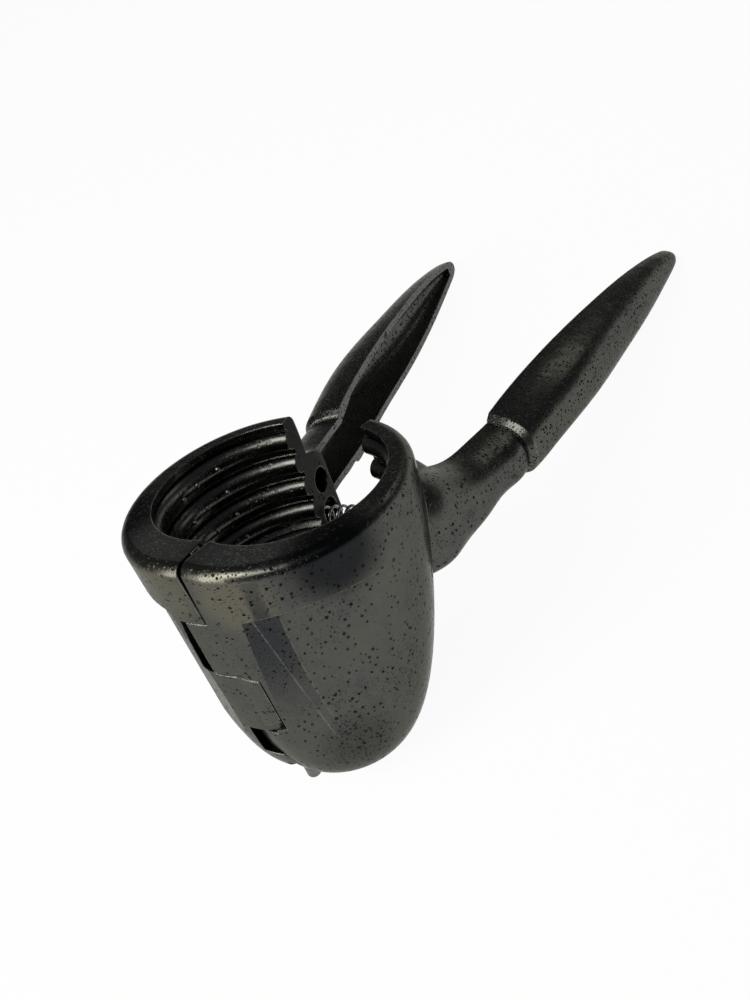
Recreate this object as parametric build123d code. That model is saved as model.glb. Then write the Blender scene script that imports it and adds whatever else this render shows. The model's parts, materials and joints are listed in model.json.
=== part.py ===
from build123d import *
import os
from math import atan2, cos, degrees, exp, pi, radians, sin, tan

# Hinged cup nutcracker with two cast levers, a hinge pin and a return spring.
# Millimetres. Each lever is drawn in its closed place: the two halves meet at
# x = 0, the mouth of the cup lies at z = 0 and opens upwards, the handles run
# along +Y and the hinge is on the -Y side. At the end both levers swing open and
# the whole tool is laid down on the bottom of the cup and the tips of the grips.

# cup, outside
cup_radius = 25.0
cup_depth = 59.15
cup_taper = 1.126
cup_fullness = 0.204
bottom_flat = 0.2
cup_sections = 12
cup_drift = 7.0
cup_drift_power = 1.8
mouth_shift = 0.4
ridge_rise = 2.4
ridge_fade = 3.15
ridge_fade_depth = 56.0
ridge_fade_power = 1.5
rim_round = 2.2
mouth_flat = 1.2
mouth_flat_reach = 5.0

# panel sunk into the side of each half
panel_sink = 1.9
panel_low_sink = 1.0
panel_sink_fade = 8.0
panel_end_turn = 81.0
panel_edge_x = 10.0
panel_edge_y = -24.5
panel_facet_x = 9.7
panel_facet_y = -24.05
panel_facet_normal = (0.559, -0.829, -0.09)
panel_wall_x = 11.3
panel_wall_y = -22.55
panel_wall_normal = (0.924, -0.38, 0.02)
panel_bottom_normal = (0.7, -0.7, 0.5)
panel_top_depth = 11.2
panel_bottom_depth = 51.5
panel_bottom_turn = 45.0
band_slope = 14.6
band_lean = 0.15

# cup, inside
mouth_radius = 19.4
cavity_y = 0.8
lip_height = 1.5
groove_radius = 20.1
rib_height = 1.9
rib_width = 4.4
rib_pitch = 5.7
first_rib_depth = 4.3
straight_ribs = 4
low_groove_radius = 18.7
waist_inset = 0.6
bottom_bulge_out = 1.8
bottom_bulge_down = 1.0
cavity_depth = 51.0
cavity_bottom_radius = 6.5
jaw_setback = 1.1
half_clearance = 0.15

# hinge
hinge_y = -22.65
hinge_lean = 5.0
pin_radius = 1.5
pin_top_depth = 15.5
pin_bottom_depth = 59.7
pin_round = 0.9
running_clearance = 0.05
end_clearance = 0.15
wrap_reach = 6.1
wrap_back = 1.0
wrap_step = 0.2
wrap_over = 0.5
pocket_top_x = 7.6
pocket_low_x = 9.5
pocket_back_clearance = 0.5
right_knuckles = [
    # start and end depth, radius, room around it in the left lever
    (12.9, 26.0, 5.3, 1.5),
    (41.3, 49.4, 5.3, 1.5),
    (53.4, 57.6, 2.4, 1.5),
]
left_knuckles = [
    # start and end depth, radius, room around it in the right lever
    (26.15, 41.15, 5.3, 0.3),
    (49.55, 53.25, 3.6, 0.3),
]
shoulder_radius = 7.7
shoulder_start = -9.0
shoulder_end = 59.0
shoulder_slope = 29.0
shoulder_rest_slope = 22.0
shoulder_rest_x = 2.0
shoulder_edge_x = -0.5
shoulder_clearance = 0.2
shoulder_turn_clearance = 2.0
half_opening = 11.6
seam_shift = 0.6
stop_clearance = 0.05
seam_gap = 0.45
seam_gap_depth = 11.0
seam_gap_y = 6.0

# root of the handle, with the spring seats in its flat face
root_sections = [
    # y, top, bottom, outer side
    (8.0, -9.5, -30.0, 14.0),
    (16.0, -9.3, -29.8, 13.0),
    (22.0, -9.4, -29.4, 12.0),
    (26.0, -10.4, -29.0, 11.0),
    (28.4, -11.8, -28.6, 10.2),
    (29.7, -13.6, -28.2, 9.6),
]
spring_y = 25.2
spring_z = -25.2
seat_radius = 3.1
seat_depth = 4.5
spare_seat_y = 26.0
spare_seat_z = -17.7
spare_seat_radius = 2.8

# handle: the open edge runs in a slanting plane, and each section is half an ellipse
edge_start_y = 36.0
edge_start_x = 6.0
edge_lean = 0.056
wall = 1.5
back_wall = 2.0
channel_start_y = 34.0
neck_top = -15.9
neck_bottom = -28.0
neck_thickness = 9.9
neck_end_y = 52.0
neck_sections = [
    # y, top, bottom, thickness
    (12.0, -8.6, -31.9, 11.6),
    (20.0, -9.4, -31.0, 11.4),
    (25.0, -11.6, -30.1, 11.1),
    (30.0, -14.2, -29.2, 10.8),
    (34.0, -15.5, -28.5, 10.5),
    (38.0, neck_top, neck_bottom, neck_thickness),
    (42.5, neck_top, neck_bottom, neck_thickness),
    (47.0, neck_top, neck_bottom, neck_thickness),
    (neck_end_y, neck_top, neck_bottom, neck_thickness),
]
collar_y = 48.8
collar_round = 1.2
grip_sections = [
    # y, top, bottom, thickness
    (50.0, -14.2, -28.7, 10.8),
    (57.0, -12.9, -27.9, 11.2),
    (66.0, -11.8, -26.6, 11.5),
    (77.0, -11.0, -25.8, 10.8),
    (90.0, -10.7, -24.8, 8.8),
    (105.0, -11.0, -22.6, 6.8),
    (117.0, -12.2, -20.1, 4.8),
    (123.0, -13.4, -18.7, 3.6),
    (126.0, -14.7, -17.8, 2.4),
    (127.0, -15.9, -17.0, 1.2),
]
channel_sections = 8
section_fullness = 0.69
notch_y = 80.5
notch_radius = 2.0
notch_depth = 3.4
notch_bite = 1.2

# return spring
spring_radius = 2.3
wire_radius = 0.35
spring_turns = 14
spring_end_clearance = 0.1

tiny = 0.01


def cup_radius_at(depth):
    return cup_radius * (1 - (depth / cup_depth) ** cup_taper) ** cup_fullness


def cup_centre_at(depth):
    return mouth_shift - cup_drift * (depth / cup_depth) ** cup_drift_power


def hinge_y_at(z):
    return hinge_y - z * tan(radians(hinge_lean))


def edge_x_at(y):
    return edge_start_x - edge_lean * (y - edge_start_y)


def box_between(low, high):
    size = [high[i] - low[i] for i in range(3)]
    centre = [(high[i] + low[i]) / 2 for i in range(3)]
    return Pos(*centre) * Box(*size)


def along_hinge(radius, high, low):
    """A round bar on the hinge axis between two heights."""
    axis = Vector(0, -sin(radians(hinge_lean)), cos(radians(hinge_lean)))
    start = Plane(origin=(0, hinge_y_at(low), low), x_dir=(1, 0, 0), z_dir=axis)
    return extrude(start * Circle(radius), (high - low) / cos(radians(hinge_lean)))


def turned_on_hinge(shape, angle):
    return shape.rotate(hinge_axis, angle)


hinge_axis = Axis((0, hinge_y, 0), (0, -sin(radians(hinge_lean)), cos(radians(hinge_lean))))


def cup_depths():
    """Depths of the cup's sections, closer together where the bottom rounds off."""
    last = cup_sections - 1
    return [(cup_depth - bottom_flat) * sin(pi / 2 * i / last) for i in range(cup_sections)]


def ridge_at(depth):
    return ridge_rise - ridge_fade * (depth / ridge_fade_depth) ** ridge_fade_power


def cup_shell():
    """The outside of the closed cup, drawn out a little towards the hinge."""
    sections = []
    for depth in cup_depths():
        radius = cup_radius_at(depth)
        rise = ridge_at(depth)
        flat = mouth_flat * exp(-depth / mouth_flat_reach)
        outline = Ellipse(radius, radius + (rise - flat) / 2)
        sections.append(Pos(0, cup_centre_at(depth) - (rise + flat) / 2, -depth) * outline)
    return loft(sections)


def panel_floor():
    """The round body inside the panel, moved towards the handles so that the panel fades out."""
    turn = radians(panel_end_turn)
    sections = []
    for depth in cup_depths():
        fade = exp(-max(0, depth - panel_top_depth) / panel_sink_fade)
        sink = panel_low_sink + (panel_sink - panel_low_sink) * fade
        centre = (sink * cos(turn), cup_centre_at(depth) + sink * sin(turn), -depth)
        sections.append(Pos(*centre) * Circle(cup_radius_at(depth)))
    return loft(sections)


def panel_cutter():
    """What is taken from the right half's side: a sunk window and the facet beside it."""
    reach = 2 * cup_radius
    block = box_between((0, -reach, -cup_depth), (reach, cup_centre_at(0), 0))
    corner = (panel_edge_x, panel_edge_y, -panel_top_depth)
    slope = radians(band_slope)
    band_edge = Plane(origin=corner, z_dir=(sin(slope), -band_lean, -cos(slope)))
    block = split(block, bisect_by=band_edge, keep=Keep.TOP)
    wall_foot = (panel_wall_x, panel_wall_y, -panel_top_depth)
    side_wall = Plane(origin=wall_foot, z_dir=panel_wall_normal)
    window = split(block, bisect_by=side_wall, keep=Keep.TOP)
    radius = cup_radius_at(panel_bottom_depth)
    turn = radians(panel_bottom_turn)
    low_corner = (
        radius * cos(turn),
        cup_centre_at(panel_bottom_depth) - radius * sin(turn),
        -panel_bottom_depth,
    )
    bottom_wall = Plane(origin=low_corner, z_dir=panel_bottom_normal)
    window = split(window, bisect_by=bottom_wall, keep=Keep.TOP)
    facet_edge = (panel_facet_x, panel_facet_y, -panel_top_depth)
    facet_plane = Plane(origin=facet_edge, z_dir=panel_facet_normal)
    facet = split(block, bisect_by=facet_plane, keep=Keep.TOP)
    return (window - panel_floor()) + facet


def cavity():
    """The inside of the closed cup: a lip, thread-like ribs and a tapering end."""
    points = [(0, 1), (mouth_radius, 1), (mouth_radius, -lip_height)]
    profile = [Line(points[0], points[1]), Line(points[1], points[2])]
    last = Vector(*points[2])
    for i in range(straight_ribs + 1):
        root = groove_radius if i < straight_ribs else low_groove_radius
        middle = -(first_rib_depth + i * rib_pitch)
        start = Vector(root, middle + rib_width / 2)
        crest = Vector(root - rib_height, middle)
        end = Vector(root, middle - rib_width / 2)
        profile.append(Line(last, start))
        profile.append(ThreePointArc(start, crest, end))
        last = end
    below = -(first_rib_depth + straight_ribs * rib_pitch + rib_pitch)
    waist = Vector(low_groove_radius - waist_inset, below)
    bottom = Vector(cavity_bottom_radius, -cavity_depth)
    profile.append(Line(last, waist))
    bulge = (waist + bottom) / 2 + Vector(bottom_bulge_out, -bottom_bulge_down)
    profile.append(ThreePointArc(waist, bulge, bottom))
    profile.append(Line(bottom, Vector(0, -cavity_depth)))
    profile.append(Line(Vector(0, -cavity_depth), Vector(0, 1)))
    half = Plane.XZ * make_face(profile)
    return Pos(0, cavity_y, 0) * revolve(half, Axis.Z)


def handle_section(y, top, bottom, thickness, inset=0.0):
    plane = Plane(origin=(edge_x_at(y) - inset, y, (top + bottom) / 2), x_dir=(1, 0, 0), z_dir=(0, 1, 0))
    half = (top - bottom) / 2
    along = section_fullness * thickness
    up = section_fullness * half
    first = Bezier((0, -half), (along, -half), (thickness, -up), (thickness, 0))
    second = Bezier((thickness, 0), (thickness, up), (along, half), (0, half))
    return plane * make_face([first, second, Line(second @ 1, first @ 0)])


def root_section(y, top, bottom, outer):
    plane = Plane(origin=(jaw_setback, y, (top + bottom) / 2), x_dir=(1, 0, 0), z_dir=(0, 1, 0))
    arc = EllipticalCenterArc((0, 0), outer - jaw_setback, (top - bottom) / 2, start_angle=-90, arc_size=180)
    return plane * make_face([arc, Line(arc @ 1, arc @ 0)])


def handle_outside():
    root = loft([root_section(*section) for section in root_sections])
    neck = loft([handle_section(*section) for section in neck_sections])
    y, top, bottom, thickness = grip_sections[0]
    drop = collar_round
    first = handle_section(collar_y, top - drop, bottom + drop, thickness - drop)
    lip = loft([first, handle_section(y, top, bottom, thickness)])
    grip = loft([handle_section(*section) for section in grip_sections])
    return root + neck + lip + grip


def handle_channel():
    """The hollow on the inner side of the handle."""
    over = 2.0
    neck = loft([
        handle_section(channel_start_y, neck_top - wall, neck_bottom + wall, neck_thickness + over - back_wall, over),
        handle_section(collar_y, neck_top - wall, neck_bottom + wall, neck_thickness + over - back_wall, over),
        handle_section(
            grip_sections[1][0],
            grip_sections[1][1] - wall,
            grip_sections[1][2] + wall,
            grip_sections[1][3] + over - back_wall,
            over,
        ),
    ], ruled=True)
    grip = loft([
        handle_section(y, top - wall, bottom + wall, thickness + over - back_wall, over)
        for y, top, bottom, thickness in grip_sections[1:channel_sections]
    ])
    return neck + grip


def notch():
    """A small ejector mark in the upper wall of the grip."""
    before = max(section for section in grip_sections if section[0] <= notch_y)
    after = min(section for section in grip_sections if section[0] > notch_y)
    share = (notch_y - before[0]) / (after[0] - before[0])
    top = before[1] + share * (after[1] - before[1])
    centre = (edge_x_at(notch_y) - tiny, notch_y, top - wall + notch_bite - notch_radius)
    return Plane(origin=centre, z_dir=(1, 0, 0)) * extrude(Circle(notch_radius), notch_depth)


def spring_seats():
    seats = []
    for y, z, radius in (
        (spring_y, spring_z, seat_radius),
        (spare_seat_y, spare_seat_z, spare_seat_radius),
    ):
        mouth = Plane(origin=(0, y, z), z_dir=(1, 0, 0))
        seats.append(mouth * extrude(Circle(radius), jaw_setback + seat_depth))
    return seats


def half_casting(shell, hollow):
    """The right lever without its hinge."""
    reach = 200
    body = fillet(shell.edges().group_by(Axis.Z)[-1], rim_round)
    body = body - panel_cutter()
    solid = body + handle_outside()
    keep = box_between((half_clearance, -reach, -reach), (reach, reach, reach))
    solid = solid & keep
    solid = solid - box_between((0, cavity_y, -reach), (jaw_setback, reach, reach))
    solid = solid - handle_channel() - notch() - spring_seats()
    return solid - hollow


def relief(shift):
    """What is cut beyond the hinge axis so that the halves can swing open until they meet."""
    wide = cup_radius
    plane = Plane(origin=(0, hinge_y, 0), x_dir=(1, 0, 0), z_dir=hinge_axis.direction)
    edge = shift + stop_clearance
    face = make_face(Polyline((edge, 0), (edge, -wide), (-wide, -wide), (-wide, 0), close=True))
    block = plane * extrude(face, 2 * cup_depth, both=True)
    outline = Polyline((edge, -seam_gap_depth), (edge + seam_gap, tiny), (edge, tiny), close=True)
    seam = Pos(0, hinge_y + seam_gap_y, 0) * (Plane.XZ * extrude(make_face(outline), wide))
    return turned_on_hinge(block + seam, half_opening)


def knuckle(start, end, radius):
    return along_hinge(radius, -start, -end)


def sector(radius, start, end, first_turn, last_turn):
    """A slice of a bar on the hinge axis, its turns counted from the -Y side towards +X."""
    lean = radians(hinge_lean)
    along = Vector(0, -sin(lean), cos(lean))
    out = Vector(0, -cos(lean), -sin(lean))
    low = Vector(0, hinge_y_at(-end), -end)
    high = low + along * ((end - start) / cos(lean))
    face = make_face(Polyline(low, low + out * radius, high + out * radius, high, close=True))
    piece = revolve(face, hinge_axis, last_turn - first_turn)
    return turned_on_hinge(piece, first_turn)


def below_slope(x, depth, angle):
    """Everything under a plane that rises towards +X from the given place."""
    reach = 2 * cup_radius
    block = Pos(reach / 2, 0, -reach / 2) * Box(reach, 4 * reach, reach)
    return Pos(x, 0, -depth) * (Rot(0, -angle, 0) * block)


def shoulder(shell):
    """The left lever's long knuckle carried on across the ridge, drawn in the open pose."""
    start, end, radius, room = left_knuckles[0]
    piece = sector(shoulder_radius, start, end, shoulder_start, shoulder_end) & shell
    return piece - below_slope(shoulder_edge_x, end, shoulder_slope)


def shoulder_room():
    start, end, radius, room = left_knuckles[0]
    gap = end_clearance
    reach = shoulder_radius + shoulder_clearance
    last_turn = shoulder_end + shoulder_turn_clearance
    piece = sector(reach, start - gap, end + gap, shoulder_start, last_turn)
    return piece - below_slope(shoulder_rest_x, end + gap, shoulder_rest_slope)


def wrap(shell):
    """The right lever's top knuckle carried on across the ridge, drawn on the left half."""
    start, end, radius, room = right_knuckles[0]
    end -= wrap_step
    reach = 2 * cup_radius
    window = box_between((-wrap_reach, -reach, -reach), (wrap_over, hinge_y + wrap_back, 0))
    return along_hinge(reach, -start, -end) & window & shell


def wrap_pocket():
    """The window in the left lever that the carried-on knuckle lies in."""
    start, end, radius, room = right_knuckles[0]
    end -= wrap_step
    gap = end_clearance
    reach = 2 * cup_radius
    outline = Polyline(
        (wrap_over, 0),
        (-pocket_top_x, 0),
        (-pocket_top_x, -start),
        (-pocket_low_x, -end),
        (-pocket_low_x, -reach),
        (wrap_over, -reach),
        close=True,
    )
    back = hinge_y + wrap_back + pocket_back_clearance
    window = Pos(0, back, 0) * (Plane.XZ * extrude(make_face(outline), reach))
    return along_hinge(reach, gap - start, -gap - end) & window


def lever_pair():
    shell = cup_shell()
    hollow = cavity()
    plain = half_casting(shell, hollow)
    gap = end_clearance

    right = plain - relief(-seam_shift)
    left = mirror(plain - relief(seam_shift), about=Plane.YZ)

    for start, end, radius, room in left_knuckles:
        right = right - knuckle(start - gap, end + gap, radius + room)
    right = right - shoulder_room()
    for start, end, radius, room in right_knuckles:
        left = left - knuckle(start - gap, end + gap, radius + room)

    for start, end, radius, room in right_knuckles:
        right = right + ((knuckle(start, end, radius) & shell) - hollow)
    for start, end, radius, room in left_knuckles:
        left = left + ((knuckle(start, end, radius) & shell) - hollow)
    left = left + turned_on_hinge(shoulder(shell), -2 * half_opening)

    right = right + turned_on_hinge(wrap(shell), 2 * half_opening)
    left = left - wrap_pocket()

    hole_top = -pin_top_depth
    hole_bottom = -2 * cup_depth
    right = right - along_hinge(pin_radius, hole_top, hole_bottom)
    left = left - along_hinge(pin_radius + running_clearance, hole_top + end_clearance, hole_bottom)
    return right, left


def hinge_pin():
    low = -pin_bottom_depth
    bar = along_hinge(pin_radius, -pin_top_depth, low)
    return fillet(bar.edges().group_by(Axis.Z)[0], pin_round)


def return_spring():
    """A coil between the two seats in the open pose, its axis along X."""
    floor = turned_on_hinge(Vertex(jaw_setback + seat_depth, spring_y, spring_z), -half_opening).center()
    mouth = turned_on_hinge(Vertex(jaw_setback, spring_y, spring_z), -half_opening).center()
    tilt_reach = spring_radius * sin(radians(half_opening))
    half_length = floor.X - tilt_reach - wire_radius - spring_end_clearance
    path = Helix(
        pitch=2 * half_length / spring_turns,
        height=2 * half_length,
        radius=spring_radius - wire_radius,
        center=(-half_length, (floor.Y + mouth.Y) / 2, floor.Z),
        direction=(1, 0, 0),
    )
    start = Plane(origin=path @ 0, z_dir=path % 0)
    return sweep(start * Circle(wire_radius), path=path)


def resting_tilt(lever):
    """How far the open tool tips before the cup and the tips of the grips stand level."""
    halves = split(lever, bisect_by=Plane.XZ.offset(-neck_end_y), keep=Keep.BOTH)
    cup, grip = sorted(halves.solids(), key=lambda solid: solid.center().Y)
    tilt = 0
    for step in range(6):
        cup_box = cup.rotate(Axis.X, -tilt).bounding_box()
        grip_box = grip.rotate(Axis.X, -tilt).bounding_box()
        span = grip_box.max.Y - cup_box.center().Y
        tilt += degrees(atan2(grip_box.min.Z - cup_box.min.Z, span))
    return tilt


right, left = lever_pair()
pieces = {
    "right_lever": turned_on_hinge(right, -half_opening),
    "left_lever": turned_on_hinge(left, half_opening),
    "hinge_pin": hinge_pin(),
    "return_spring": return_spring(),
}

# lay the tool down on the bottom of the cup and the tips of the grips
tilt = resting_tilt(pieces["right_lever"])
whole = Compound(children=[piece.rotate(Axis.X, -tilt) for piece in pieces.values()]).bounding_box()
shift = Vector(-whole.center().X, -whole.center().Y, -whole.min.Z)

os.makedirs("parts", exist_ok=True)
for name, piece in pieces.items():
    placed = Pos(*shift) * piece.rotate(Axis.X, -tilt)
    placed.label = name
    export_step(placed, "parts/" + name + ".step")
    print(name, len(placed.solids()), round(placed.volume, 1), placed.bounding_box())
print("tilt", round(tilt, 3), "shift", shift)
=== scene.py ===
import bmesh
import bpy
import json
import numpy as np
from math import cos, pi, radians, sin
from mathutils import Matrix, Quaternion, Vector


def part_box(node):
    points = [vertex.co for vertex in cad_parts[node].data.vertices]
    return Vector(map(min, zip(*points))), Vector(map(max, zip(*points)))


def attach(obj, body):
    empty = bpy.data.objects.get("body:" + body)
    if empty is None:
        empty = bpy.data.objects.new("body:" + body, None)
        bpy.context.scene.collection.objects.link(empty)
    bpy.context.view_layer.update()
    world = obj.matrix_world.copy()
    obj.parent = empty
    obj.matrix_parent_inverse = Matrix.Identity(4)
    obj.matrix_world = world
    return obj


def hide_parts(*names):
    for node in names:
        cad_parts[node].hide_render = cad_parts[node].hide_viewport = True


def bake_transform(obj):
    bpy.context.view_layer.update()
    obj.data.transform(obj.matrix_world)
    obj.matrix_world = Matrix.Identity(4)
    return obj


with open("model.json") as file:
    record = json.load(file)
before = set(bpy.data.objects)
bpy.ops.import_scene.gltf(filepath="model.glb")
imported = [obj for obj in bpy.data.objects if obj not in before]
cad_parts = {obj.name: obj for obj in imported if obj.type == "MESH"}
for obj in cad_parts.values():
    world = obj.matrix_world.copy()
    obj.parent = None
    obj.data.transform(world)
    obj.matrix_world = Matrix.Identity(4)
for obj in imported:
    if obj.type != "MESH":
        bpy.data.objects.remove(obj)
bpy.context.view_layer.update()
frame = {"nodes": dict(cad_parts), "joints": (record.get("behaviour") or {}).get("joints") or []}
nodes = frame["nodes"]
hinge = frame["joints"][0]
hingePoint = Vector(hinge["pos_m"])
hingeAxis = Vector(hinge["axis"]).normalized()
halfOpening = radians(hinge["range_deg"][1]) / 2
print("frame loaded:", ", ".join(sorted(nodes)))


def addToScene(name, data):
    obj = bpy.data.objects.new(name, data)
    bpy.context.scene.collection.objects.link(obj)
    return obj


cameraSettings = {
    "place": (0.1461, -0.13367, 0.19971),
    "lookAt": (-0.00896, -0.01258, 0.01479),
    "roll": -36.413,
    "focalLength": 43.72,
    "nearClip": 0.005,
    "farClip": 20.0,
}


def makeCamera(settings):
    data = bpy.data.cameras.new("camera")
    data.lens = settings["focalLength"]
    data.clip_start = settings["nearClip"]
    data.clip_end = settings["farClip"]
    camera = addToScene("camera", data)
    place = Vector(settings["place"])
    look = Vector(settings["lookAt"]) - place
    turn = look.to_track_quat("-Z", "Y").to_matrix().to_4x4()
    roll = Matrix.Rotation(radians(settings["roll"]), 4, "Z")
    camera.matrix_world = Matrix.Translation(place) @ turn @ roll
    bpy.context.scene.camera = camera


makeCamera(cameraSettings)


# node helpers: a value is another node's socket, a number, a vector or a colour
def setInput(tree, socket, value):
    if isinstance(value, bpy.types.NodeSocket):
        tree.links.new(value, socket)
    elif socket.type == "RGBA":
        socket.default_value = (*value, 1)
    else:
        socket.default_value = value


def addNode(tree, kind, inputs=(), **options):
    # inputs goes by the sockets' names or numbers, options are the node's own properties
    node = tree.nodes.new(kind)
    for name, value in options.items():
        setattr(node, name, value)
    for name, value in dict(inputs).items():
        setInput(tree, node.inputs[name], value)
    return node


def addMath(tree, operation, *values, clamp=False):
    node = addNode(tree, "ShaderNodeMath", enumerate(values), operation=operation, use_clamp=clamp)
    return node.outputs[0]


def addInverse(tree, value):
    return addMath(tree, "SUBTRACT", 1.0, value)


def addProduct(tree, *values):
    total = values[0]
    for value in values[1:]:
        total = addMath(tree, "MULTIPLY", total, value)
    return total


def addVectorMath(tree, operation, *values):
    return addNode(tree, "ShaderNodeVectorMath", enumerate(values), operation=operation).outputs


def addRamp(tree, value, low, high):
    # 0 at low, 1 at high, smooth between
    inputs = {"Value": value, "From Min": low, "From Max": high}
    node = addNode(tree, "ShaderNodeMapRange", inputs, interpolation_type="SMOOTHSTEP")
    return node.outputs["Result"]


def addNoise(tree, vector, scale, detail, rough):
    inputs = {"Vector": vector, "Scale": scale, "Detail": detail, "Roughness": rough}
    return addNode(tree, "ShaderNodeTexNoise", inputs).outputs["Fac"]


def mixColor(tree, share, first, second):
    inputs = {0: share, 6: first, 7: second}
    return addNode(tree, "ShaderNodeMix", inputs, data_type="RGBA").outputs[2]


def addBump(tree, height, strength, depth, **normal):
    inputs = {"Height": height, "Strength": strength, "Distance": depth, **normal}
    return addNode(tree, "ShaderNodeBump", inputs).outputs["Normal"]


def newMaterial(name):
    material = bpy.data.materials.new(name)
    material.use_nodes = True
    tree = material.node_tree
    return material, tree, tree.nodes["Principled BSDF"]


def newGroup(name, inputs, outputs):
    # inputs maps each name to a socket type and a default, outputs maps it to a socket type
    group = bpy.data.node_groups.new(name, "ShaderNodeTree")
    for label, (kind, default) in inputs.items():
        socket = group.interface.new_socket(label, in_out="INPUT", socket_type=kind)
        socket.default_value = default
    for label, kind in outputs.items():
        group.interface.new_socket(label, in_out="OUTPUT", socket_type=kind)
    start = group.nodes.new("NodeGroupInput")
    end = group.nodes.new("NodeGroupOutput")
    return group, start.outputs, end.inputs


def useGroup(tree, group, inputs):
    return addNode(tree, "ShaderNodeGroup", inputs, node_tree=group).outputs


# studio: soft lamps, a pale floor that runs out into a plain grey sweep
studioSettings = {
    # azimuth from -Y towards +X, elevation, distance, width, height, brightness, colour
    "lamps": {
        "keyLamp": (-33, 36, 0.75, 0.34, 1.05, 5.2, (1.0, 0.99, 0.96)),
        "backLamp": (176, 29, 0.8, 0.5, 0.08, 1.5, (1.0, 1.0, 0.9)),
        "sideLamp": (75, 60, 0.8, 0.3, 0.2, 0.6, (0.93, 0.97, 1.0)),
        "cupLamp": (8, 56, 0.75, 0.5, 0.26, 4.5, (1.0, 1.0, 0.96)),
    },
    "lampTarget": (0.0, -0.03, 0.035),
    "horizonColor": (0.3, 0.3, 0.3),
    "horizonHeight": 0.02,
    "zenithColor": (0.085, 0.09, 0.097),
    "zenithHeight": 0.16,
    "floorColor": (0.93, 0.93, 0.93),
    "floorRadius": 4.0,
    "floorSides": 96,
    "paleRadius": 0.75,
    "sweepRadius": 2.6,
    "floorGlow": 0.945,
    "glowColor": (1.0, 1.0, 1.0),
}


def makeLamp(name, azimuth, elevation, distance, width, height, brightness, color):
    target = Vector(studioSettings["lampTarget"])
    a, e = radians(azimuth), radians(elevation)
    away = Vector((sin(a) * cos(e), -cos(a) * cos(e), sin(e)))
    data = bpy.data.lights.new(name, "AREA")
    data.shape = "RECTANGLE"
    data.size = width
    data.size_y = height
    data.energy = brightness * pi * width * height
    data.color = color
    lamp = addToScene(name, data)
    turn = away.to_track_quat("Z", "Y").to_matrix().to_4x4()
    lamp.matrix_world = Matrix.Translation(target + away * distance) @ turn


def makeWorld(settings):
    # the horizon's tone low down, the zenith's tone from a little way up
    world = bpy.data.worlds.new("studio")
    bpy.context.scene.world = world
    world.use_nodes = True
    tree = world.node_tree
    place = addNode(tree, "ShaderNodeTexCoord").outputs["Generated"]
    height = addNode(tree, "ShaderNodeSeparateXYZ", {0: place}).outputs["Z"]
    ramp = addNode(tree, "ShaderNodeValToRGB", {"Fac": height})
    for stop, label in zip(ramp.color_ramp.elements, ("horizon", "zenith")):
        stop.position = settings[label + "Height"]
        stop.color = (*settings[label + "Color"], 1)
    background = tree.nodes["Background"]
    setInput(tree, background.inputs["Color"], ramp.outputs["Color"])
    setInput(tree, background.inputs["Strength"], 1.0)


def makeFloor(settings):
    # a flat disc: pale round the object, and the tone of the horizon at its far edge
    sides = settings["floorSides"]
    turn = np.linspace(0, 2 * pi, sides, endpoint=False)
    rim = np.stack([np.cos(turn), np.sin(turn), np.zeros(sides)], axis=1) * settings["floorRadius"]
    mesh = bpy.data.meshes.new("floor")
    mesh.from_pydata(rim.tolist(), [], [list(range(sides))])
    floor = addToScene("floor", mesh)
    material, tree, shader = newMaterial("paleFloor")
    tree.nodes.remove(shader)
    place = addNode(tree, "ShaderNodeTexCoord").outputs["Object"]
    reach = addVectorMath(tree, "LENGTH", place)["Value"]
    fade = addRamp(tree, reach, settings["paleRadius"], settings["sweepRadius"])
    paintColor, glowColor = (
        mixColor(tree, fade, settings[near], settings["horizonColor"])
        for near in ("floorColor", "glowColor")
    )
    paint = addNode(tree, "ShaderNodeBsdfDiffuse", {"Color": paintColor})
    glow = addNode(tree, "ShaderNodeEmission", {"Color": glowColor, "Strength": 1.0})
    # seen directly or in a mirror the floor is mostly an even glow, and the rest of it takes the
    # shadow; to the light on the object it is plain paint
    path = addNode(tree, "ShaderNodeLightPath").outputs
    seen = addMath(tree, "MAXIMUM", path["Is Camera Ray"], path["Is Glossy Ray"])
    seen = addMath(tree, "MAXIMUM", seen, path["Is Transmission Ray"])
    share = addProduct(tree, seen, settings["floorGlow"])
    mix = addNode(tree, "ShaderNodeMixShader", {0: share, 1: paint.outputs[0], 2: glow.outputs[0]})
    setInput(tree, tree.nodes["Material Output"].inputs["Surface"], mix.outputs[0])
    floor.data.materials.append(material)


for lampName, values in studioSettings["lamps"].items():
    makeLamp(lampName, *values)
makeWorld(studioSettings)
makeFloor(studioSettings)
bpy.context.scene.view_settings.view_transform = "Standard"
print("studio ready")


numberSocket, vectorSocket = "NodeSocketFloat", "NodeSocketVector"
origin = (0.0, 0.0, 0.0)


skinSettings = {
    "wobble": (1400.0, 2.0, 0.5),  # scale, detail and roughness of the noise that frets a pit's edge
    "wobbleSize": 0.22,
    "sizeSpread": 0.8,
    "sizeLeast": 0.45,
    "pitSoftness": 0.12,
    # scale, detail and roughness of each noise, and the two values stretched to 0 and 1
    "mottle": {
        "Patches": ((70.0, 3.0, 0.55), (0.32, 0.72)),
        "Grain": ((2600.0, 3.0, 0.7), None),
        "Clouds": ((420.0, 4.0, 0.6), (0.3, 0.7)),
        "Waves": ((230.0, 2.0, 0.5), None),
    },
}


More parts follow.
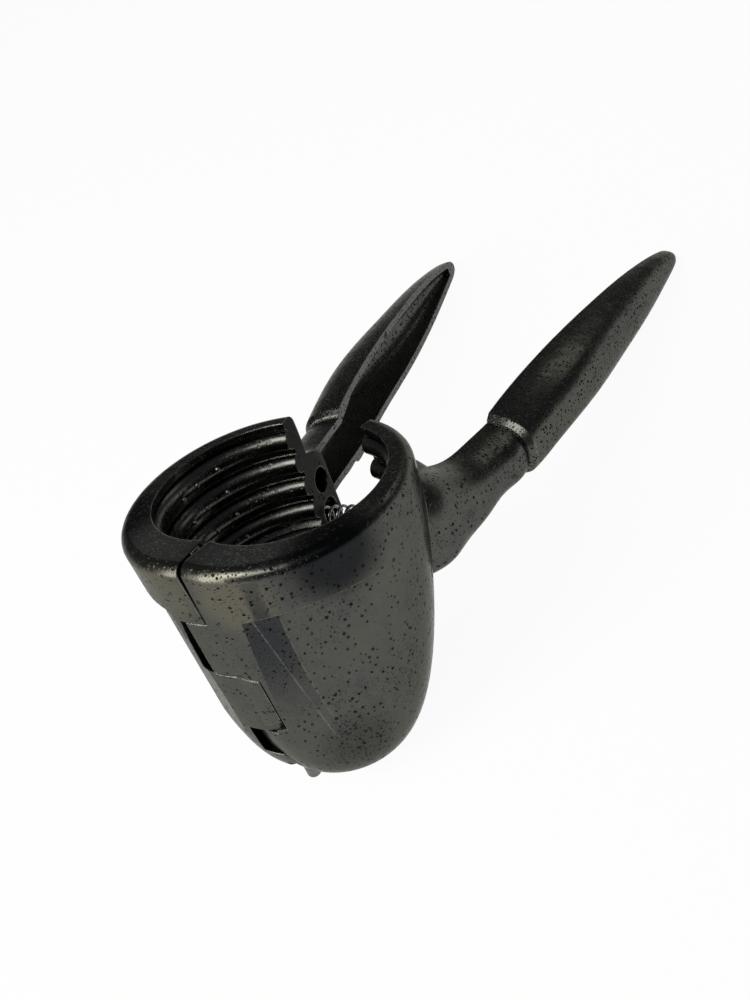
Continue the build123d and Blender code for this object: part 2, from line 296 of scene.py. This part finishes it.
def buildPitGroup(settings):
    # each cell of a 3-D cell pattern may hold one round pit; two random numbers of the cell say
    # whether it does and how large the pit is
    group, start, end = newGroup(
        "castingPits",
        {"Vector": (vectorSocket, origin), "Spacing": (numberSocket, 0.0014),
         "Share": (numberSocket, 0.5), "Size": (numberSocket, 0.2)},
        {"Mask": numberSocket},
    )
    scale = addMath(group, "DIVIDE", 1.0, start["Spacing"])
    inputs = {"Vector": start["Vector"], "Scale": scale, "Randomness": 1.0}
    cells = addNode(group, "ShaderNodeTexVoronoi", inputs, feature="F1").outputs
    split = addNode(group, "ShaderNodeSeparateColor", {0: cells["Color"]}).outputs
    chosen = addMath(group, "LESS_THAN", split["Red"], start["Share"])
    spread = (settings["sizeSpread"], settings["sizeLeast"])
    size = addProduct(group, start["Size"], addMath(group, "MULTIPLY_ADD", split["Green"], *spread))
    wobble = addNoise(group, start["Vector"], *settings["wobble"])
    fray = (settings["wobbleSize"], -0.5 * settings["wobbleSize"])
    reach = addMath(group, "ADD", cells["Distance"], addMath(group, "MULTIPLY_ADD", wobble, *fray))
    depth = addMath(group, "SUBTRACT", size, reach)
    inside = addMath(group, "DIVIDE", depth, settings["pitSoftness"], clamp=True)
    setInput(group, end["Mask"], addProduct(group, inside, chosen))
    return group


def buildMottleGroup(settings):
    # large soft patches, fine grain, smaller clouds and the slow waves of a cast skin, all 0 to 1
    mottle = settings["mottle"]
    group, start, end = newGroup(
        "castMottle", {"Vector": (vectorSocket, origin)}, dict.fromkeys(mottle, numberSocket)
    )
    for label, (noise, limits) in mottle.items():
        value = addNoise(group, start["Vector"], *noise)
        setInput(group, end[label], addRamp(group, value, *limits) if limits else value)
    return group


pitGroup = buildPitGroup(skinSettings)
mottleGroup = buildMottleGroup(skinSettings)


castSettings = {
    "bodyColor": (0.080, 0.081, 0.074),
    # a warm tone: at random in the clouds, and as a painted reflection near the seam
    "warmToneAndReflectionColor": (0.128, 0.122, 0.094),
    "coldColor": (0.052, 0.055, 0.058),
    # painted shade: the side facet and the wall beside it darker than the panel
    "facetShadeColor": (0.030, 0.032, 0.035),
    # painted reflection: a dark reflection painted in a spot below the rim
    "darkReflectionColor": (0.011, 0.012, 0.014),
    "cupColor": (0.085, 0.086, 0.078),
    # painted highlight: a light colour on the upward faces of the rim near the seam
    "rimHighlightColor": (0.21, 0.21, 0.19),
    # painted shade: the jaws' parting faces darker
    "partingShadeColor": (0.020, 0.020, 0.019),
    # painted shade: the colour painted into the hollows of the inner side
    "hollowShadeColor": (0.012, 0.012, 0.012),
    "groundColor": (0.115, 0.116, 0.112),
    # worn edges and a painted highlight: convex edges lighter
    "wearAndHighlightColor": (0.24, 0.24, 0.22),
    # painted shade: the colour of the shade painted into corners, creases and the panel's foot
    "paintedShadeColor": (0.010, 0.010, 0.010),
    "pitColor": (0.007, 0.007, 0.007),
    "edgeTint": (0.6, 0.6, 0.58),
    # how far a layer of colour covers the ones under it
    "coldShare": 0.5,
    "cloudShare": 0.3,
    "warmReflectionShare": 0.85,
    "facetShadeShare": 0.9,
    "footShadeShare": 0.4,
    "darkReflectionShare": 0.9,
    "wearAndHighlightShare": 0.9,
    "creaseShadeShare": 0.85,
    # the rub also carries the painted highlight on the worn edges
    "rub": (0.9, 0.25),  # worn edges come and go with the clouds: share of the clouds, and base
    "roughness": 0.22,
    "cloudRoughness": 0.07,
    "partingRoughness": 0.15,
    "pitRoughness": 0.35,
    # reach in metres of the worn edges, the painted shade in corners and the painted shade in
    # hollows
    "edgeRadius": 0.0004,
    "creaseReach": 0.0009,
    "hollowReach": 0.007,
    "reachSamples": 4,
    "bendLimits": (0.93, 0.998),
    "wearAndHighlightLimits": (0.5, 0.85),
    "creaseShadeLimits": (0.3, 0.75),
    "hollowLimits": (0.25, 0.75),
    "openLimits": (0.55, 0.8),
    # distance between pits in metres, the share of places taken, and a pit's size to that distance
    "cupPits": {"Spacing": 0.00118, "Share": 0.95, "Size": 0.29},
    "handlePits": {"Spacing": 0.00072, "Share": 1.0, "Size": 0.35},
    "finePits": {"Spacing": 0.0006, "Share": 1.0, "Size": 0.34},
    "cupPitPatches": (0.35, 0.65),
    "finePitPatches": 0.55,
    "cupSmoothness": 0.6,
    "pitDepth": 0.00016,
    "pitStrength": 0.8,
    "grainHeight": 0.07,
    "waveDepth": 0.00022,
    "waveStrength": 0.6,
    "handleLimits": (-0.018, -0.004),  # along Y, where the cup passes into the handle
    "innerLimits": (0.01, 0.09),
    "partingLimits": (0.97, 0.995),
    "faceLimits": (0.996, 0.9995),
    # places on the right lever, mirrored for the left one: centre, inner and outer radius
    # painted reflection: where the dark reflection is painted below the rim
    "darkReflectionSpot": ((0.0250, -0.0530, 0.0585), 0.0045, 0.0125),
    # painted reflection: where the warm reflection is painted near the seam
    "warmReflectionSpot": ((0.0085, -0.0640, 0.0585), 0.004, 0.0100),
    # painted highlight: where the rim's highlight is painted
    "rimSpot": ((0.0120, -0.0580, 0.0630), 0.006, 0.0180),
    # the panel's foot: painted shade, and a rough patch of fine pits
    "footSpot": ((0.0165, -0.0690, 0.0180), 0.003, 0.0100),
    # painted shade: where the facet is painted darker
    "facetSpot": ((0.0095, -0.0665, 0.0500), 0.001, 0.0250),
    "facetNormal": (0.378, -0.903, 0.201),
    "wallNormal": (0.830, -0.527, 0.183),
    "rimNormal": (0.0175, 0.318, 0.948),
}


def addOpenness(tree, distance, samples):
    # how open the surface is within a short distance: 1 on open faces, lower in hollows and corners
    inputs = {"Distance": distance}
    node = addNode(tree, "ShaderNodeAmbientOcclusion", inputs, samples=samples, only_local=True)
    return node.outputs["AO"]


def addSpot(tree, place, spot):
    # 1 inside the inner radius and 0 outside the outer one
    centre, low, high = spot
    reach = addVectorMath(tree, "DISTANCE", place, centre)["Value"]
    return addInverse(tree, addRamp(tree, reach, low, high))


def addFacing(tree, normal, direction, limits):
    # 1 where the surface faces the direction, 0 where it turns away
    return addRamp(tree, addVectorMath(tree, "DOT_PRODUCT", normal, direction)["Value"], *limits)


def buildEdgeGroup(settings):
    # what the shape itself does to its skin: worn edges with a painted highlight, painted shade in
    # corners and hollows, and a normal that is rounded over the edges
    group, start, end = newGroup(
        "castEdges",
        {"Edge Radius": (numberSocket, 0.0004), "Crease Reach": (numberSocket, 0.0009),
         "Hollow Reach": (numberSocket, 0.007)},
        {"Wear And Highlight": numberSocket, "Crease Shade": numberSocket, "Hollow": numberSocket,
         "Open": numberSocket, "Normal": vectorSocket},
    )
    samples = settings["reachSamples"]
    soft = addNode(group, "ShaderNodeBevel", {"Radius": start["Edge Radius"]}, samples=samples)
    sharp = addNode(group, "ShaderNodeNewGeometry")
    bend = addVectorMath(group, "DOT_PRODUCT", soft.outputs["Normal"], sharp.outputs["Normal"])
    edge = addInverse(group, addRamp(group, bend["Value"], *settings["bendLimits"]))
    crease = addOpenness(group, start["Crease Reach"], samples)
    openness = addOpenness(group, start["Hollow Reach"], samples)
    # wear and painted highlight: convex edges away from corners
    wearAndHighlight = addProduct(group, edge, addRamp(group, crease, *settings["wearAndHighlightLimits"]))
    setInput(group, end["Wear And Highlight"], wearAndHighlight)
    # painted shade: corners and creases darker
    creaseShade = addInverse(group, addRamp(group, crease, *settings["creaseShadeLimits"]))
    # painted shade: hollows darker, by how open the surface is
    hollow = addInverse(group, addRamp(group, openness, *settings["hollowLimits"]))
    setInput(group, end["Crease Shade"], creaseShade)
    setInput(group, end["Hollow"], hollow)
    setInput(group, end["Open"], addRamp(group, openness, *settings["openLimits"]))
    setInput(group, end["Normal"], soft.outputs["Normal"])
    return group


def buildZoneGroup(settings):
    # where on a lever the surface is: Mirror is (1, 1, 1) on the right lever and (-1, 1, 1) on the
    # left one. Parting Normal points out of the lever's flat parting face, so its product with a
    # surface normal is above 0 on the inner side of the lever: cup, channel and flat faces
    labels = ("Inner", "Flat", "Handle", "Facet Shade", "Rim Highlight", "Dark Reflection", "Warm Reflection", "Foot")
    group, start, end = newGroup(
        "castZones",
        {"Vector": (vectorSocket, origin), "Normal": (vectorSocket, origin),
         "Mirror": (vectorSocket, (1.0, 1.0, 1.0)),
         "Parting Normal": (vectorSocket, (-1.0, 0.0, 0.0))},
        dict.fromkeys(labels, numberSocket),
    )
    place = addVectorMath(group, "MULTIPLY", start["Vector"], start["Mirror"])["Vector"]
    normal = addVectorMath(group, "MULTIPLY", start["Normal"], start["Mirror"])["Vector"]
    along = addNode(group, "ShaderNodeSeparateXYZ", {0: place}).outputs["Y"]
    facet, wall, rim = (
        addFacing(group, normal, Vector(settings[name]).normalized(), settings["faceLimits"])
        for name in ("facetNormal", "wallNormal", "rimNormal")
    )
    spots = {name: addSpot(group, place, settings[name + "Spot"])
             for name in ("facet", "rim", "darkReflection", "warmReflection", "foot")}
    masks = (
        addFacing(group, start["Normal"], start["Parting Normal"], settings["innerLimits"]),
        addFacing(group, start["Normal"], start["Parting Normal"], settings["partingLimits"]),
        addRamp(group, along, *settings["handleLimits"]),
        # painted shade: facet and wall facing these ways, within their spot
        addProduct(group, addMath(group, "MAXIMUM", facet, wall), spots["facet"]),
        # painted highlight: the rim's upward faces within their spot
        addProduct(group, rim, spots["rim"]),
        # painted reflection: the spot of the dark reflection
        spots["darkReflection"],
        # painted reflection: the spot of the warm reflection
        spots["warmReflection"],
        # the panel's foot: painted shade and fine pits
        spots["foot"],
    )
    for label, mask in zip(labels, masks):
        setInput(group, end[label], mask)
    return group


edgeGroup = buildEdgeGroup(castSettings)
zoneGroup = buildZoneGroup(castSettings)


def makeCastMetal(name, mirror, partingNormal, settings):
    material, tree, shader = newMaterial(name)
    coords = addNode(tree, "ShaderNodeTexCoord").outputs
    place = coords["Object"]
    mottle = useGroup(tree, mottleGroup, {"Vector": place})
    edges = useGroup(tree, edgeGroup, {
        "Edge Radius": settings["edgeRadius"],
        "Crease Reach": settings["creaseReach"],
        "Hollow Reach": settings["hollowReach"],
    })
    zones = useGroup(tree, zoneGroup, {
        "Vector": place,
        "Normal": coords["Normal"],
        "Mirror": (mirror, 1.0, 1.0),
        "Parting Normal": partingNormal.normalized(),
    })

    handle = zones["Handle"]
    cup = addInverse(tree, handle)
    cupWall = addProduct(tree, zones["Inner"], cup)
    # hollows of the inner side: painted shade, and fewer pits
    hollow = addProduct(tree, edges["Hollow"], zones["Inner"])
    # the jaws' parting faces: painted shade in the colour, and smoother
    parting = addProduct(tree, zones["Flat"], cup)
    strip = addProduct(tree, zones["Flat"], handle, edges["Open"])
    rub = addMath(tree, "MULTIPLY_ADD", mottle["Clouds"], *settings["rub"], clamp=True)
    # worn edges: partly real wear, partly a painted highlight
    wearAndHighlight = addProduct(tree, edges["Wear And Highlight"], rub, settings["wearAndHighlightShare"])

    # pits: round and spaced on the cup, small and close on the handles, a rough patch at the
    # panel's foot; few in the hollows and on the cup's wall
    cupPits, handlePits, finePits = (
        useGroup(tree, pitGroup, {"Vector": place, **settings[kind]})["Mask"]
        for kind in ("cupPits", "handlePits", "finePits")
    )
    patches = addMath(tree, "MULTIPLY_ADD", mottle["Patches"], *settings["cupPitPatches"])
    sparse = addProduct(tree, mottle["Patches"], settings["finePitPatches"])
    fine = addProduct(tree, finePits, addMath(tree, "MAXIMUM", zones["Foot"], sparse))
    spaced = addProduct(tree, cupPits, cup, patches)
    close = addProduct(tree, handlePits, handle)
    pits = addMath(tree, "MAXIMUM", addMath(tree, "MAXIMUM", spaced, close), fine)
    wall = addProduct(tree, cupWall, addInverse(tree, zones["Flat"]), settings["cupSmoothness"])
    pits = addProduct(tree, pits, addInverse(tree, addMath(tree, "MAXIMUM", hollow, wall)))

    layers = (
        (addProduct(tree, mottle["Patches"], settings["coldShare"]), "coldColor"),
        (addProduct(tree, mottle["Clouds"], settings["cloudShare"]), "warmToneAndReflectionColor"),
        # painted reflection: the warm patch near the seam
        (addProduct(tree, zones["Warm Reflection"], settings["warmReflectionShare"]), "warmToneAndReflectionColor"),
        # painted shade on the facet
        (addProduct(tree, zones["Facet Shade"], cup, settings["facetShadeShare"]), "facetShadeColor"),
        # painted highlight on the rim
        (zones["Rim Highlight"], "rimHighlightColor"),
        # painted shade at the panel's foot
        (addProduct(tree, zones["Foot"], settings["footShadeShare"]), "paintedShadeColor"),
        # painted reflection: the dark patch below the rim
        (addProduct(tree, zones["Dark Reflection"], settings["darkReflectionShare"]), "darkReflectionColor"),
        (cupWall, "cupColor"),
        # painted shade on the jaws' parting faces
        (parting, "partingShadeColor"),
        (strip, "groundColor"),
        # painted shade in the hollows
        (hollow, "hollowShadeColor"),
        # wear and painted highlight on convex edges
        (wearAndHighlight, "wearAndHighlightColor"),
        # painted shade in corners and creases
        (addProduct(tree, edges["Crease Shade"], settings["creaseShadeShare"]), "paintedShadeColor"),
        (pits, "pitColor"),
    )
    tone = settings["bodyColor"]
    for share, color in layers:
        tone = mixColor(tree, share, tone, settings[color])

    spread = (settings["cloudRoughness"], settings["roughness"])
    rough = addMath(tree, "MULTIPLY_ADD", mottle["Clouds"], *spread)
    rough = addMath(tree, "ADD", rough, addProduct(tree, parting, settings["partingRoughness"]))
    rough = addMath(tree, "ADD", rough, addProduct(tree, pits, settings["pitRoughness"]), clamp=True)

    depth = (settings["waveStrength"], settings["waveDepth"])
    wave = addBump(tree, mottle["Waves"], *depth, Normal=edges["Normal"])
    sunk = addProduct(tree, pits, -1.0)
    height = addMath(tree, "MULTIPLY_ADD", mottle["Grain"], settings["grainHeight"], sunk)
    depth = (settings["pitStrength"], settings["pitDepth"])
    setInput(tree, shader.inputs["Base Color"], tone)
    setInput(tree, shader.inputs["Roughness"], rough)
    setInput(tree, shader.inputs["Normal"], addBump(tree, height, *depth, Normal=wave))
    setInput(tree, shader.inputs["Metallic"], 1.0)
    setInput(tree, shader.inputs["Specular Tint"], settings["edgeTint"])
    return material


def dress(obj, material):
    obj.data.materials.clear()
    obj.data.materials.append(material)


rightNormal = Quaternion(hingeAxis, halfOpening) @ Vector((-1, 0, 0))
leftNormal = Quaternion(hingeAxis, -halfOpening) @ Vector((1, 0, 0))
dress(nodes["right_lever"], makeCastMetal("rightCastMetal", 1.0, rightNormal, castSettings))
dress(nodes["left_lever"], makeCastMetal("leftCastMetal", -1.0, leftNormal, castSettings))
print("levers dressed")


steelSettings = {
    "darkShare": 0.6,  # the clouds run from this share of the colour up to the colour itself
    "lineDetail": 2.0,
    "lineRoughness": 0.55,
    "roughnessSpread": 0.15,
    "bumpStrength": 0.3,
    "bumpDepth": 0.00003,
}


def makeSteel(name, settings):
    # plain steel, cloudy, with a fine noise in its polish and its height
    material, tree, shader = newMaterial(name)
    settings = {**steelSettings, **settings}
    place = addNode(tree, "ShaderNodeTexCoord").outputs["Object"]
    clouds = useGroup(tree, mottleGroup, {"Vector": place})["Clouds"]
    lines = (settings["lineScale"], settings["lineDetail"], settings["lineRoughness"])
    fine = addNoise(tree, place, *lines)
    dark = tuple(settings["darkShare"] * c for c in settings["color"])
    rough = addMath(tree, "MULTIPLY_ADD", fine, settings["roughnessSpread"], settings["roughness"])
    bump = addBump(tree, fine, settings["bumpStrength"], settings["bumpDepth"])
    setInput(tree, shader.inputs["Base Color"], mixColor(tree, clouds, dark, settings["color"]))
    setInput(tree, shader.inputs["Roughness"], rough)
    setInput(tree, shader.inputs["Normal"], bump)
    setInput(tree, shader.inputs["Metallic"], 1.0)
    return material


pinSettings = {"color": (0.16, 0.16, 0.155), "roughness": 0.27, "lineScale": 900.0}
dress(nodes["hinge_pin"], makeSteel("drawnSteel", pinSettings))
print("pin dressed")


def meshFromRings(name, rings):
    # rings is an array (shape, ring, point, xyz): each ring closes on itself, and the first and
    # the last ring of a shape are capped
    index = np.arange(rings[..., 0].size).reshape(rings.shape[:3])
    here, across = index[:, :-1], index[:, 1:]
    turned = np.roll(here, -1, axis=2), np.roll(across, -1, axis=2)
    sides = np.stack([here, *turned, across], axis=-1).reshape(-1, 4)
    caps = np.concatenate([index[:, 0, ::-1], index[:, -1]])
    mesh = bpy.data.meshes.new(name)
    mesh.from_pydata(rings.reshape(-1, 3).tolist(), [], sides.tolist() + caps.tolist())
    mesh.shade_smooth()
    solid = bmesh.new()
    solid.from_mesh(mesh)
    bmesh.ops.recalc_face_normals(solid, faces=solid.faces)
    solid.to_mesh(mesh)
    solid.free()
    return addToScene(name, mesh)


springSettings = {
    "turns": 14,
    "wire": 0.00035,
    "coil": 0.00195,
    "seatReach": 0.0054,
    "stepsPerTurn": 40,
    "sides": 12,
    "color": (0.24, 0.245, 0.24),
    "roughness": 0.17,
    "lineScale": 1500.0,
}


def makeSpring(settings):
    # the centre line is an arc about the hinge; the coil turns round it and a small ring of
    # wire is carried along the coil
    low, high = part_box("return_spring")
    middle = np.array((low + high) / 2)
    axis = np.array(hingeAxis)
    pivot = np.array(hingePoint)
    pivot = pivot + axis * np.dot(middle - pivot, axis)
    out = middle - pivot
    radius = np.linalg.norm(out)
    out = out / radius
    side = np.cross(axis, out)
    half = halfOpening + settings["seatReach"] / radius
    t = np.linspace(-1, 1, settings["turns"] * settings["stepsPerTurn"] + 1)
    swing = (half * t)[:, None]
    outward = out * np.cos(swing) + side * np.sin(swing)
    phase = (pi * settings["turns"] * (t + 1))[:, None]
    spoke = outward * np.cos(phase) + axis * np.sin(phase)
    coil = pivot + outward * radius + settings["coil"] * spoke
    along = np.gradient(coil, axis=0)
    along /= np.linalg.norm(along, axis=1, keepdims=True)
    first = spoke - along * np.sum(spoke * along, axis=1, keepdims=True)
    first /= np.linalg.norm(first, axis=1, keepdims=True)
    second = np.cross(along, first)
    b = np.linspace(0, 2 * pi, settings["sides"], endpoint=False)[None, :, None]
    ring = first[:, None] * np.cos(b) + second[:, None] * np.sin(b)
    spring = meshFromRings("curved_spring", (coil[:, None] + settings["wire"] * ring)[None])
    spring.data.materials.append(makeSteel("springSteel", settings))
    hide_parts("return_spring")
    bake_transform(spring)


makeSpring(springSettings)
print("spring coiled")


# small cast pips on the cup's wall, in rows under the ribs
pipSettings = {
    "mouth": (0.0, -0.03748, 0.05646),
    "lean": 18.647,
    "wallCentre": 0.0008,
    "wallRadius": 0.0182,
    "depths": (0.0044, 0.0100, 0.0156, 0.0213),
    "azimuths": (128, 111, 97),
    "drop": 0.00045,
    "radius": 0.00055,
    "height": 0.0005,
    "topAngle": 0.02,
    "footAngle": 0.62 * pi,
    "rings": 8,
    "sides": 16,
    "color": (0.34, 0.34, 0.32),
    "roughness": 0.27,
    "lineScale": 2200.0,
}


def makePips(name, side, material, settings):
    # each pip is half of a ball flattened to its height: out = height * cos(a), across =
    # radius * sin(a) * cos(b), along = radius * sin(a) * sin(b), for a from near 0 at its top to
    # past the wall and b once round
    a = np.linspace(settings["topAngle"], settings["footAngle"], settings["rings"])[:, None]
    b = np.linspace(0, 2 * pi, settings["sides"], endpoint=False)[None, :]
    across = settings["radius"] * np.sin(a) * np.cos(b)
    along = settings["radius"] * np.sin(a) * np.sin(b)
    out = settings["height"] * np.cos(a) + 0 * b

    # set on the cup's wall at each depth and azimuth, and a little deeper from one to the next
    depth, turn = np.meshgrid(settings["depths"], np.radians(settings["azimuths"]), indexing="ij")
    depth = (depth + settings["drop"] * np.arange(turn.shape[1])[None, :]).reshape(-1, 1, 1)
    turn = turn.reshape(-1, 1, 1)
    reach = settings["wallRadius"] - out
    x = side * (reach * np.sin(turn) + across * np.cos(turn))
    y = settings["wallCentre"] - reach * np.cos(turn) + across * np.sin(turn)
    z = along - depth

    # leant with the cup, moved to its mouth, and opened about the hinge
    lean = radians(settings["lean"])
    shape = np.stack([x, y * cos(lean) + z * sin(lean), z * cos(lean) - y * sin(lean)], axis=-1)
    shape = shape + np.array(settings["mouth"])
    pivot = np.array(hingePoint)
    opened = np.array(Quaternion(hingeAxis, side * halfOpening).to_matrix())
    pips = meshFromRings(name, (shape - pivot) @ opened.T + pivot)
    pips.data.materials.append(material)
    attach(pips, "right" if side > 0 else "left")


pipMetal = makeSteel("pipMetal", pipSettings)
makePips("right_cup_pips", 1, pipMetal, pipSettings)
makePips("left_cup_pips", -1, pipMetal, pipSettings)
print("pips cast")
